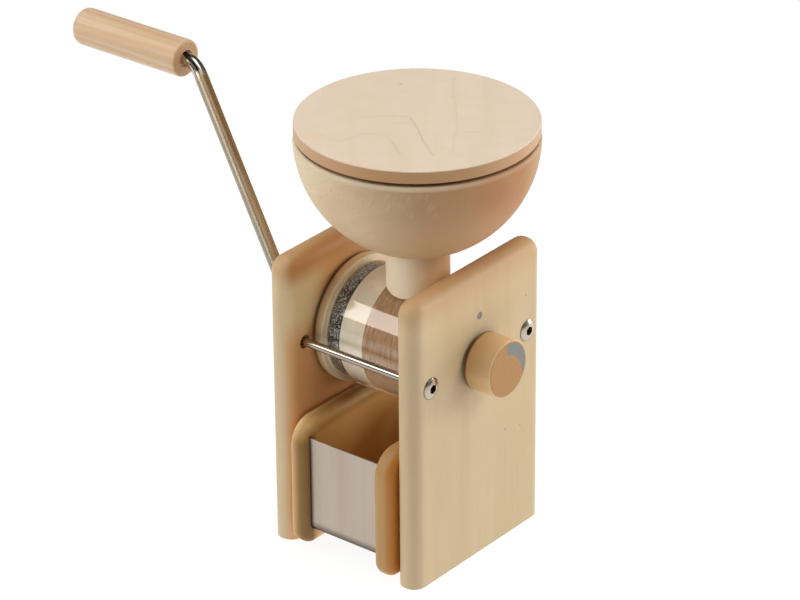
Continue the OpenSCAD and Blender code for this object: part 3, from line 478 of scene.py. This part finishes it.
def vein(under, run, rise, points, strength):
    """A vein in the wood: a soft line 1.4 mm wide through points (run, rise) in millimetres, which wavers
    by 1.2 mm to each side and fades at both ends."""
    span = 100 * MM
    share = put(tree, "MapRange", {"Value": run, "From Min": -span, "From Max": span})
    path = put(tree, "FloatCurve", {"Value": share})
    curve = path.mapping.curves[0]
    spots = [(0.5 + a * MM / (2 * span), 0.5 + b * MM / (2 * span)) for a, b in sorted(points)]
    curve.points[0].location, curve.points[1].location = spots[0], spots[-1]
    for spot in spots[1:-1]:
        curve.points.new(*spot)
    path.mapping.update()
    height = put(tree, "MapRange", {"Value": path, "To Min": -span, "To Max": span})
    off = put(tree, "Math", {0: rise, 1: height}, operation="SUBTRACT")
    off = put(tree, "Math", {0: waver, 1: 2.4 * MM, 2: off}, operation="MULTIPLY_ADD")
    off = put(tree, "Math", {0: off, 1: 1.2 * MM}, operation="SUBTRACT")
    off = put(tree, "Math", {0: off}, operation="ABSOLUTE")
    line = put(tree, "MapRange", {"Value": off, "From Min": 0.2 * MM, "From Max": 1.4 * MM,
                                  "To Min": strength, "To Max": 0})
    first, last = min(points)[0], max(points)[0]
    half = (last - first) / 2
    apart = put(tree, "Math", {0: run, 1: (first + last) / 2 * MM}, operation="SUBTRACT")
    apart = put(tree, "Math", {0: apart}, operation="ABSOLUTE")
    ends = put(tree, "MapRange", {"Value": apart, "From Min": (half - 5) * MM, "From Max": (half + 1) * MM,
                                  "To Min": 1, "To Max": 0})
    shown = put(tree, "Math", {0: line, 1: ends}, operation="MULTIPLY")
    return put(tree, "MixRGB", {"Fac": shown, "Color1": under, "Color2": linear("#B08A62")})


for points, strength in (
        ([(-70, -14), (-62, -28), (-52, -35), (-44, -30), (-36, -25), (-26, -25), (-19, -29)], 0.15),
        ([(-42, 1), (-31, 3), (-16, 4), (-4, 2)], 0.14),
        ([(-17, -6), (-12, -7), (-6, -8)], 0.14),
        ([(27, -19), (36, -23), (45, -20)], 0.12)):
    built_colour = vein(built_colour, across, along, points, strength)
for points, strength in (
        ([(-32, -19), (-37, -17), (-46, -14), (-57, -11), (-60, -8)], 0.24),
        ([(3, -5), (-5, -3), (-20, 1), (-36, 4), (-51, 8), (-61, 11)], 0.26),
        ([(70, 26), (42, 25), (17, 26), (-7, 27), (-17, 27), (-31, 25), (-55, 23)], 0.11)):
    built_colour = vein(built_colour, along, across, points, strength)
# the rim shows brown end grain in front and behind, where the grain runs out, and paler wood at its sides
out = put(tree, "Math", {0: along}, operation="ABSOLUTE")
ends = put(tree, "MapRange", {"Value": out, "From Min": 20 * MM, "From Max": 78 * MM,
                              "To Min": 0.75, "To Max": 1})
z = put(tree, "SeparateXYZ", {0: level}).outputs["Z"]
rim = put(tree, "MapRange", {"Value": z, "From Min": -1.1 * MM, "From Max": -0.5 * MM,
                             "To Min": 1, "To Max": 0})
ends = put(tree, "Math", {0: ends, 1: rim}, operation="MULTIPLY")
ended = put(tree, "MixRGB", {"Fac": ends, "Color1": built_colour, "Color2": linear("#C99A6B")})
# painted shadow: the seat underneath is darkened where the gap shades it
under = put(tree, "MapRange", {"Value": z, "From Min": -9.1 * MM, "From Max": -8.9 * MM,
                               "To Min": 0.5, "To Max": 0})
ended = put(tree, "MixRGB", {"Fac": under, "Color1": ended, "Color2": linear("#6E4F35")})
feed(body, {"Base Color": ended})
dress(lid_maple, "lid")

# Crank: one bent bar of bright steel, screwed into the shaft, with a beech grip that spins on its end.
# The bar is nickel plated; the grip is turned along the grain, so long brown streaks run down it.
grip_lo, grip_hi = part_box("crank_grip")
BEND = (grip_hi[0] + 5 * MM, (grip_lo[1] + grip_hi[1]) / 2, (grip_lo[2] + grip_hi[2]) / 2)
REFLECTION_EDGE = 59.5 * MM
plate, tree, body, place = bare_skin("nickel_plated_crank")
# nickel plate over a drawn bar: bright, with a slow yellowish tarnish some 40 mm long
cloud = put(tree, "TexNoise", {"Vector": place, "Scale": 1 / (40 * MM), "Detail": 1})
tone = put(tree, "MapRange", {"Value": cloud, "From Min": 0.35, "From Max": 0.65})
dull = put(tree, "MapRange", {"Value": cloud, "From Min": 0.3, "From Max": 0.7,
                              "To Min": 0.38, "To Max": 0.46})
mixed = put(tree, "MixRGB", {"Fac": tone, "Color1": linear("#B9AC98"), "Color2": linear("#A89474")})
# painted reflection: the arm is grey on one side and brown on the other, where it mirrors the wooden board
across = put(tree, "VectorMath", {0: place, 1: (0.62, 0.714, 0.326)}, operation="DOT_PRODUCT")
board_reflection = put(tree, "MapRange", {"Value": across, "From Min": REFLECTION_EDGE - 6 * MM, "From Max": REFLECTION_EDGE + 1 * MM})
reflected_tint = put(tree, "MixRGB", {"Fac": board_reflection, "Color1": linear("#AAA498"), "Color2": linear("#9F7745")})
mixed = put(tree, "MixRGB", {"Fac": 0.8, "Color1": mixed, "Color2": reflected_tint})
# a painted dark reflection line 2 mm wide runs down the upper half of the brown side
dark_reflection_line = put(tree, "Math", {0: across, 1: REFLECTION_EDGE}, operation="SUBTRACT")
dark_reflection_line = put(tree, "Math", {0: dark_reflection_line}, operation="ABSOLUTE")
dark_reflection_line = put(tree, "MapRange", {"Value": dark_reflection_line, "From Min": 0.5 * MM, "From Max": 1.6 * MM,
                              "To Min": 1, "To Max": 0})
z = put(tree, "SeparateXYZ", {0: place}).outputs["Z"]
upper = put(tree, "MapRange", {"Value": z, "From Min": AXIS_Z + 52 * MM, "From Max": AXIS_Z + 79 * MM,
                               "To Max": 0.65})
dark_reflection_line = put(tree, "Math", {0: dark_reflection_line, 1: upper}, operation="MULTIPLY")
mixed = put(tree, "MixRGB", {"Fac": dark_reflection_line, "Color1": mixed, "Color2": linear("#54391A")})
# the upper bend, beside the grip, was polished after bending; a painted dark reflection streaks its middle
far = put(tree, "VectorMath", {0: place, 1: BEND}, operation="DISTANCE")
near = put(tree, "MapRange", {"Value": far, "From Min": 10 * MM, "From Max": 18 * MM,
                              "To Min": 0.85, "To Max": 0})
mixed = put(tree, "MixRGB", {"Fac": near, "Color1": mixed, "Color2": linear("#D6CEC2")})
dull = put(tree, "MapRange", {"Value": near, "To Min": dull, "To Max": 0.14})
scale = put(tree, "VectorMath", {0: place, 1: BEND}, operation="SUBTRACT")
scale = put(tree, "VectorMath", {0: scale, 1: (0.46, 0.716, 0.524)}, operation="DOT_PRODUCT")
scale = put(tree, "Math", {0: scale, 1: -0.6 * MM}, operation="SUBTRACT")
scale = put(tree, "Math", {0: scale}, operation="ABSOLUTE")
scale = put(tree, "MapRange", {"Value": scale, "From Min": 1.5 * MM, "From Max": 2.4 * MM,
                               "To Min": 0.96, "To Max": 0})
start = put(tree, "MapRange", {"Value": far, "From Min": 12 * MM, "From Max": 15 * MM,
                               "To Min": 1, "To Max": 0})
scale = put(tree, "Math", {0: scale, 1: start}, operation="MULTIPLY")
mixed = put(tree, "MixRGB", {"Fac": scale, "Color1": mixed, "Color2": linear("#15100C")})
feed(body, {"Metallic": 1, "Base Color": mixed, "Roughness": dull})
dress(plate, "crank_rod")

grip_beech, tree, body, place, mixed = oiled_beech(
    "turned_beech_grip", "#E0C5A4", "#CFA880", (0, 0, 0), across=5, streaks=0.8, flecks=0.1, gloss=0.42)
# the flat end towards the crank is darker end grain
x, y, z = put(tree, "SeparateXYZ", {0: place}).outputs
face = put(tree, "MapRange", {"Value": x, "From Min": grip_hi[0] - 1.2 * MM,
                              "From Max": grip_hi[0] - 0.1 * MM, "To Max": 0.85})
ended = put(tree, "MixRGB", {"Fac": face, "Color1": mixed, "Color2": linear("#B98A5A")})
# painted light: the mouth of its bore is painted pale against the shade inside it
mouth = put(tree, "CombineXYZ", {"X": BEND[0], "Y": y, "Z": z})
mouth = put(tree, "VectorMath", {0: mouth, 1: BEND}, operation="DISTANCE")
mouth = put(tree, "MapRange", {"Value": mouth, "From Min": 6.8 * MM, "From Max": 6.9 * MM,
                               "To Min": 1, "To Max": 0})
ended = put(tree, "MixRGB", {"Fac": mouth, "Color1": ended, "Color2": linear("#FFE0C4")})
feed(body, {"Base Color": ended})
dress(grip_beech, "crank_grip")

# Knob: a beech disc on a threaded brass spindle; turning it draws the running stone towards the still one.
# Its face is end grain, browner than its side, with a grey crescent let in that shows finer and coarser.
knob_lo, knob_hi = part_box("knob")
KNOB_FOOT, KNOB_FACE = knob_lo[0], knob_hi[0]
knob_beech, tree, body, place, mixed = oiled_beech(
    "turned_beech_knob", "#EBC89A", "#E0B684", (0, 0, 0), across=8, streaks=0.6, flecks=0.06)
x = put(tree, "SeparateXYZ", {0: place}).outputs["X"]
face = put(tree, "MapRange", {"Value": x, "From Min": KNOB_FACE - 0.5 * MM,
                              "From Max": KNOB_FACE - 0.15 * MM})
pores = put(tree, "TexNoise", {"Vector": place, "Scale": 1 / (1.1 * MM), "Detail": 3})
grainy = put(tree, "MapRange", {"Value": pores, "From Min": 0.35, "From Max": 0.65})
ended = put(tree, "MixRGB", {"Fac": grainy, "Color1": linear("#BD8C53"), "Color2": linear("#B7854A")})
# painted shade and light: its side is painted darker towards the board and lighter towards its face, and a
# painted shadow lies nearly black where it meets the board
side_shade = put(tree, "MapRange", {"Value": x, "From Min": KNOB_FOOT + 2 * MM, "From Max": KNOB_FACE - 3 * MM})
side_shade = put(tree, "MixRGB", {"Fac": side_shade, "Color1": (0.83, 0.77, 0.58, 1), "Color2": (1.14, 1.13, 1.12, 1)})
side_shade = put(tree, "VectorMath", {0: mixed, 1: side_shade}, operation="MULTIPLY")
contact_shadow = put(tree, "MapRange", {"Value": x, "From Min": KNOB_FOOT + 0.7 * MM,
                                "From Max": KNOB_FOOT + 1.8 * MM, "To Min": 0.9, "To Max": 0})
shaded_side = put(tree, "MixRGB", {"Fac": contact_shadow, "Color1": side_shade, "Color2": linear("#6E3C0E")})
capped = put(tree, "MixRGB", {"Fac": face, "Color1": shaded_side, "Color2": ended})
feed(body, {"Base Color": capped})
dress(knob_beech, "knob")

spindle_lo, spindle_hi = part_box("knob_spindle")
SPINDLE_R = spindle_hi[1]
SPINDLE_BORE_R, THREAD_DEPTH, PITCH = 6.06 * MM, 0.9 * MM, 1.5 * MM


def thread_skin(x0, x1, across=72, rows_a_turn=8):
    """A screw: the radius falls from the crest by a triangle wave of the place along X less the turn,
    fading out at both ends; the rows go along the thread and back through the bore."""
    angle = np.linspace(0, 2 * np.pi, across, endpoint=False)[None]
    along = np.linspace(x0, x1, int((x1 - x0) / PITCH * rows_a_turn))[:, None]
    phase = (along - x0) / PITCH - angle / (2 * np.pi)
    saw = np.abs(2 * (phase - np.floor(phase)) - 1)
    fade = np.clip(np.minimum(along - x0, x1 - along) / PITCH, 0, 1)
    bore = np.full_like(angle, SPINDLE_BORE_R)
    radius = np.concatenate([bore, SPINDLE_R - THREAD_DEPTH * saw * fade, bore])
    x = np.concatenate([[[x0]], along, [[x1]]]) + 0 * angle
    return np.stack([x, radius * np.sin(angle), AXIS_Z - radius * np.cos(angle)], axis=-1)


looped("knob_spindle_threaded", thread_skin(spindle_lo[0], spindle_hi[0]),
       "knob", "knob_spindle", bearing_brass)

# brushed enamel, a little uneven over some 3 mm
enamel, tree, body, place = bare_skin("grey_inlay_enamel")
uneven = put(tree, "TexNoise", {"Vector": place, "Scale": 1 / (3 * MM), "Detail": 3})
mixed = put(tree, "MixRGB", {"Fac": uneven, "Color1": linear("#8F918F"), "Color2": linear("#7F807C")})
dull = put(tree, "MapRange", {"Value": uneven, "To Min": 0.45, "To Max": 0.65})
feed(body, {"Base Color": mixed, "Roughness": dull})
dress(enamel, "knob_mark", "index_dot")

# Tray: two beech cheeks with rounded edges and a trough bent from one strip of stainless sheet.
# The sheet is brushed upright, so it shows soft upright bands and blurred reflections.
cheek_lo, cheek_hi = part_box("tray_cheek_left")
CHEEK_FRONT, CHEEK_TOP = cheek_lo[1], cheek_hi[2]
cheek_beech, tree, body, place, mixed = oiled_beech(
    "oiled_beech_cheeks", "#D2A767", "#C79955", UPRIGHT, across=20, flecks=0.06)
x, y, z = put(tree, "SeparateXYZ", {0: place}).outputs
out = put(tree, "Math", {0: x, 1: MIDDLE}, operation="SUBTRACT")
# painted shade and light: the left cheek is shaded brown towards the sheet, less so on top, and painted pale
# outside, most of all on top
brown = put(tree, "MapRange", {"Value": out, "From Min": -43 * MM, "From Max": -35 * MM})
fading = put(tree, "MapRange", {"Value": z, "From Min": CHEEK_TOP - 16 * MM, "From Max": CHEEK_TOP - 4 * MM,
                                "To Min": 0.97, "To Max": 0.1})
left = put(tree, "MapRange", {"Value": out, "From Min": -10 * MM, "From Max": 10 * MM,
                              "To Min": 1, "To Max": 0})
brown = put(tree, "Math", {0: brown, 1: fading}, operation="MULTIPLY")
brown = put(tree, "Math", {0: brown, 1: left}, operation="MULTIPLY")
pale = put(tree, "MapRange", {"Value": out, "From Min": -44 * MM, "From Max": -37 * MM,
                              "To Min": 1, "To Max": 0})
top = put(tree, "MapRange", {"Value": z, "From Min": CHEEK_TOP - 14 * MM, "From Max": CHEEK_TOP - 4 * MM,
                             "To Min": 0.3, "To Max": 1})
pale = put(tree, "Math", {0: pale, 1: top}, operation="MULTIPLY")
built_colour = put(tree, "MixRGB", {"Fac": brown, "Color1": mixed, "Color2": linear("#8C6426")})
built_colour = put(tree, "MixRGB", {"Fac": pale, "Color1": built_colour, "Color2": linear("#FFE2B0")})
# the right one is a shade darker, and its front is painted with shade that reddens towards its board
right = put(tree, "MapRange", {"Value": out, "From Min": -10 * MM, "From Max": 10 * MM, "To Max": 0.85})
red = put(tree, "MapRange", {"Value": out, "From Min": 39.4 * MM, "From Max": 43.6 * MM})
front = put(tree, "MapRange", {"Value": y, "From Min": CHEEK_FRONT + 9 * MM,
                               "From Max": CHEEK_FRONT + 18 * MM, "To Min": 1, "To Max": 0})
red = put(tree, "Math", {0: red, 1: front}, operation="MULTIPLY")
built_colour = put(tree, "MixRGB", {"Fac": right, "Color1": built_colour, "Color2": linear("#BC9258")})
built_colour = put(tree, "MixRGB", {"Fac": red, "Color1": built_colour, "Color2": linear("#CB8432")})
# painted light: their insides are painted lighter behind the front and below the top
out = put(tree, "Math", {0: out}, operation="ABSOLUTE")
inside = put(tree, "MapRange", {"Value": out, "From Min": 30 * MM, "From Max": 34 * MM,
                                "To Min": 1, "To Max": 0})
behind = put(tree, "MapRange", {"Value": y, "From Min": CHEEK_FRONT + 7 * MM,
                                "From Max": CHEEK_FRONT + 13 * MM})
below = put(tree, "MapRange", {"Value": z, "From Min": CHEEK_TOP - 11 * MM, "From Max": CHEEK_TOP - 5 * MM,
                               "To Min": 1, "To Max": 0.4})
inside = put(tree, "Math", {0: inside, 1: behind}, operation="MULTIPLY")
inside = put(tree, "Math", {0: inside, 1: below}, operation="MULTIPLY")
painted_inner_light = put(tree, "MixRGB", {"Fac": inside, "Color1": built_colour, "Color2": linear("#FFCA7E")})
feed(body, {"Base Color": painted_inner_light})
dress(cheek_beech, "tray_cheek_left", "tray_cheek_right")

trough_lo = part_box("tray_trough")[0]
SLOT, TROUGH_FOOT = trough_lo[0] + 3.8 * MM, trough_lo[2]
sheet, tree, body, place = bare_skin("brushed_stainless_sheet")
# brush lines drawn 1.2 mm wide, coarser than real, and tone bands about 14 mm wide
brush = put(tree, "Mapping", {"Vector": place, "Scale": repeats(1.2, 60, 60)})
lines = put(tree, "TexNoise", {"Vector": brush, "Scale": 1, "Detail": 3})
wide = put(tree, "Mapping", {"Vector": place, "Scale": repeats(14, 160, 160)})
bands = put(tree, "TexNoise", {"Vector": wide, "Scale": 1, "Detail": 1})
tone = put(tree, "MapRange", {"Value": bands, "From Min": 0.3, "From Max": 0.7})
mixed = put(tree, "MixRGB", {"Fac": tone, "Color1": linear("#BFB2A4"), "Color2": linear("#B6A797")})
# painted shade: the bend at the bottom is painted darker
x, _, z = put(tree, "SeparateXYZ", {0: place}).outputs
bend = put(tree, "MapRange", {"Value": z, "From Min": TROUGH_FOOT + 2.6 * MM,
                              "From Max": TROUGH_FOOT + 8 * MM, "To Min": 0.95, "To Max": 0})
mixed = put(tree, "MixRGB", {"Fac": bend, "Color1": mixed, "Color2": linear("#5C5349")})
# and so is the line along the left slot, as painted shade in the gap
slot_shade = put(tree, "MapRange", {"Value": x, "From Min": SLOT, "From Max": SLOT + 3.4 * MM,
                                "To Min": 0.8, "To Max": 0})
mixed = put(tree, "MixRGB", {"Fac": slot_shade, "Color1": mixed, "Color2": linear("#655B51")})
dull = put(tree, "MapRange", {"Value": lines, "From Min": 0.3, "From Max": 0.7,
                              "To Min": 0.34, "To Max": 0.46})
bump = put(tree, "Bump", {"Height": lines, "Strength": 0.06, "Distance": 0.1 * MM})
feed(body, {"Metallic": 1, "Base Color": mixed, "Roughness": dull, "Normal": bump})
dress(sheet, "tray_trough")

# Studio: a white sweep under the mill, and soft boxes in front on the left, above, and behind on the right.
# The camera stands where the photograph was taken from.
SWEEP, CELLS, SUNK = 4, 8, 0.5 * MM
line = np.linspace(-SWEEP, SWEEP, CELLS + 1)
u, v = np.meshgrid(line, line, indexing="ij")
grid = np.stack([u, v, 0 * u - SUNK], axis=-1).reshape(-1, 3)
number = np.arange((CELLS + 1) ** 2).reshape(CELLS + 1, CELLS + 1)
faces = [number[:-1, :-1], number[1:, :-1], number[1:, 1:], number[:-1, 1:]]
faces = np.stack(faces, axis=-1).reshape(-1, 4)
floor_mesh = bpy.data.meshes.new("white_sweep")
floor_mesh.from_pydata(grid.tolist(), [], faces.tolist())
floor = bpy.data.objects.new("white_sweep", floor_mesh)
bpy.context.collection.objects.link(floor)
paper, tree, body, place = bare_skin("white_paper")
tooth = put(tree, "TexNoise", {"Vector": place, "Scale": 1 / (2 * MM), "Detail": 2})
mixed = put(tree, "MixRGB", {"Fac": tooth, "Color1": linear("#616161"), "Color2": linear("#5E5E5E")})
# it glows from below, a painted light that also lights the mill, dimmed in front as painted shade
front = put(tree, "VectorMath", {0: place, 1: (0.627, -0.779, 0)}, operation="DOT_PRODUCT")
glow = put(tree, "MapRange", {"Value": front, "From Min": 0.2, "From Max": 1.0,
                              "To Min": 0.92, "To Max": 0.55})
feed(body, {"Base Color": mixed, "Roughness": 0.9,
            "Emission Color": linear("#FFFFFF"), "Emission Strength": glow})
floor_mesh.materials.append(paper)

scene = bpy.context.scene
scene.view_settings.view_transform = "Standard"
scene.world = bpy.data.worlds.new("soft_tent")
scene.world.use_nodes = True
feed(scene.world.node_tree.nodes["Background"], {"Color": linear("#FFFFFF"), "Strength": 0.08})


def soft_box(name, spot, aim, wide, high, watts, tint):
    """A rectangular lamp at spot that faces aim, its long side level."""
    lamp = bpy.data.lights.new(name, "AREA")
    lamp.shape = "RECTANGLE"
    lamp.size, lamp.size_y = wide, high
    lamp.energy = watts
    lamp.color = linear(tint)[:3]
    stand = bpy.data.objects.new(name, lamp)
    back = (Vector(spot) - Vector(aim)).normalized()
    right = Vector((0, 0, 1)).cross(back).normalized()
    up = back.cross(right)
    stand.matrix_world = Matrix.Translation(spot) @ Matrix((right, up, back)).transposed().to_4x4()
    bpy.context.collection.objects.link(stand)


soft_box("box_front_left", (-0.72, -1.01, 0.93), (0.12, -0.03, 0.18), 1.0, 0.65, 9.5, "#FFFAF4")
soft_box("box_above", (0.05, -0.1, 1.9), (0.1, 0, 0.2), 1.4, 1.4, 17, "#FFFFFF")
soft_box("box_behind_low", (0.87, 1.3, 0.38), (0.1, 0, 0.09), 0.5, 0.6, 6.8, "#FFFDF8")
soft_box("box_behind_right", (1.35, 0.58, 1.1), (0.15, 0, 0.15), 0.8, 0.8, 9.5, "#FFFDF8")

camera_data = bpy.data.cameras.new("photo_camera")
camera_data.sensor_width = 36
camera_data.lens = 181.04
camera_data.clip_end = 20
camera = bpy.data.objects.new("photo_camera", camera_data)
bpy.context.collection.objects.link(camera)
right = Vector((0.78137, 0.62403, -0.00717))
up = Vector((-0.28, 0.36083, 0.88961))
back = Vector((0.55772, -0.69314, 0.45663))
spot = (1.67027, -1.93137, 1.44896)
camera.matrix_world = Matrix.Translation(spot) @ Matrix((right, up, back)).transposed().to_4x4()
scene.camera = camera
